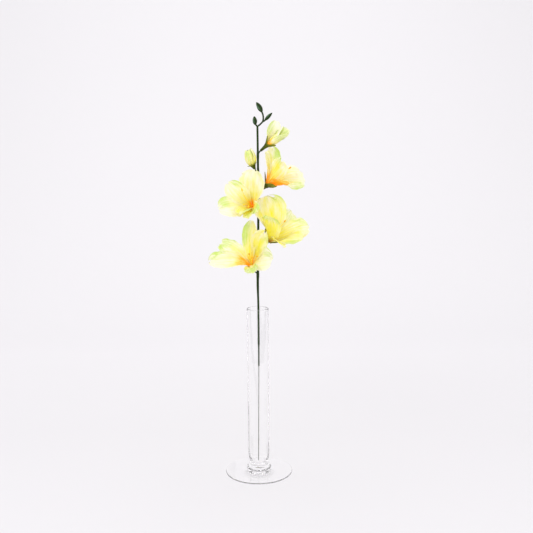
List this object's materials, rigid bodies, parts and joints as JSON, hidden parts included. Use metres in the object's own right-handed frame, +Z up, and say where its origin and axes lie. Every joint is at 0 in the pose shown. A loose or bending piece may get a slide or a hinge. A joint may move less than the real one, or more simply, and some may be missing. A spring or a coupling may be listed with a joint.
{
  "type": "gladiolus in vase",
  "caption": "Artificial gladiolus stem with open yellow blooms and buds, standing in a tall clear glass bud vase with a round foot.",
  "frame": {"origin": "centre of the flat underside of the vase's foot, on the vase's axis", "axes": "+Z up along the vase; -Y towards the side that the lower blooms face; +X to the right seen from -Y"},
  "size_m": [0.1768, 0.1196, 0.657],
  "materials": {
    "clear_glass": "clear blown glass, smooth and polished",
    "wrapped_wire": "pale grey-green painted wire, satin",
    "green_plastic": "dark green moulded plastic, matte, finely ribbed along its length",
    "olive_plastic": "olive green moulded plastic, matte",
    "yellow_cloth": "thin dyed cloth, cream yellow with green tips and an orange throat, soft and slightly translucent",
    "orange_plastic": "orange moulded plastic, matte"
  },
  "bodies": {
    "root": {"vase": "clear_glass", "stem_wire": "wrapped_wire", "stem": "green_plastic", "bloom_top_right_calyx": "olive_plastic", "bloom_top_right_petals": "yellow_cloth", "bloom_top_right_stamens": "orange_plastic", "bloom_left_calyx": "olive_plastic", "bloom_left_petals": "yellow_cloth", "bloom_left_stamens": "orange_plastic", "bloom_right_calyx": "olive_plastic", "bloom_right_petals": "yellow_cloth", "bloom_right_stamens": "orange_plastic", "bloom_low_left_calyx": "olive_plastic", "bloom_low_left_petals": "yellow_cloth", "bloom_low_left_stamens": "orange_plastic", "bud_right_calyx": "olive_plastic", "bud_right_petals": "yellow_cloth", "bud_left_calyx": "olive_plastic", "bud_left_petals": "yellow_cloth"}
  },
  "joints": []
}
